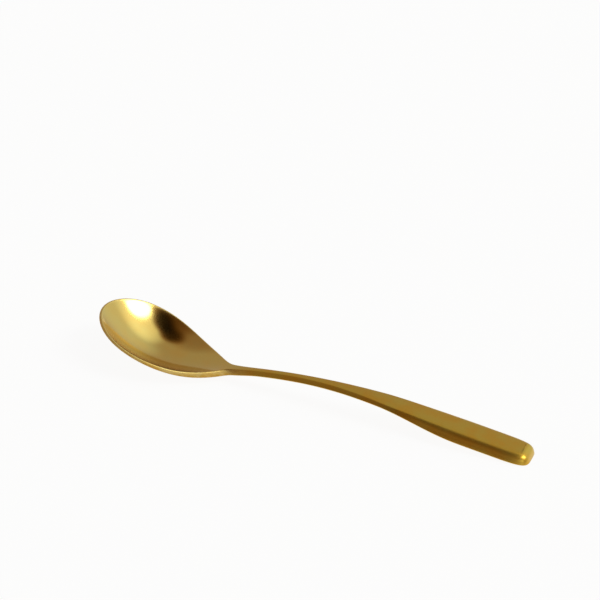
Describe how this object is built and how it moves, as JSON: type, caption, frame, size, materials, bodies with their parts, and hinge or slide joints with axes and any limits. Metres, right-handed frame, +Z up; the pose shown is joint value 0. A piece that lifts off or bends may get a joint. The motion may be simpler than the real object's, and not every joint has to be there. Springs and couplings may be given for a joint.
{
  "type": "teaspoon",
  "caption": "Gold satin teaspoon pressed in one piece: an egg-shaped bowl, a slim neck and an arched handle that widens to a flat, rounded grip.",
  "frame": {"origin": "centre of the bounding box's bottom face, on the surface the spoon lies on, bowl up", "axes": "+X along the spoon from the bowl's tip to the handle's end, +Y across its width, +Z up out of the bowl"},
  "size_m": [0.135, 0.0292, 0.0133],
  "materials": {
    "satin_gold": "satin gold-coloured coating on stainless steel, brighter in the bowl"
  },
  "bodies": {
    "root": {"teaspoon": "satin_gold"}
  },
  "joints": []
}
